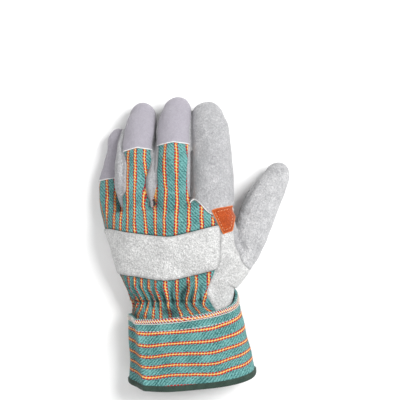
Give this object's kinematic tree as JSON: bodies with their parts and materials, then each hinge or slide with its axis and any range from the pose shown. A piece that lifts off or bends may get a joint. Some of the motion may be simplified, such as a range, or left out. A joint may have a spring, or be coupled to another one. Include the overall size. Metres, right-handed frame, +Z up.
{
  "type": "work_glove",
  "caption": "Left-hand work glove of grey split leather and striped teal cloth, with orange leather patches, a knuckle strap and a bound safety cuff, lying palm down.",
  "frame": {"origin": "middle of the bounding box in X and Y, at the surface that the glove lies on", "axes": "+Y toward the fingertips, +X toward the thumb, +Z up out of the back of the hand"},
  "size_m": [0.1684, 0.2588, 0.0604],
  "materials": {
    "grey_leather": "suede nap of split leather, light grey, lilac on the fingertips",
    "orange_leather": "suede nap of split leather, orange, mottled",
    "striped_cloth": "teal twill with yellow and red stripes",
    "green_binding": "dark green woven binding tape",
    "overlock_thread": "overlocked edge, white thread over striped cloth"
  },
  "bodies": {
    "root": {"back_fabric": "striped_cloth", "cap_little": "grey_leather", "cap_ring": "grey_leather", "cap_middle": "grey_leather", "front_little": "grey_leather", "front_ring": "grey_leather", "front_middle": "grey_leather", "index_finger": "grey_leather", "palm_leather": "grey_leather", "thumb": "grey_leather", "knuckle_strap": "grey_leather", "crotch_patch": "orange_leather", "palm_patch": "orange_leather", "cuff": "striped_cloth", "cuff_overlock": "overlock_thread", "cuff_binding": "green_binding"}
  },
  "joints": []
}
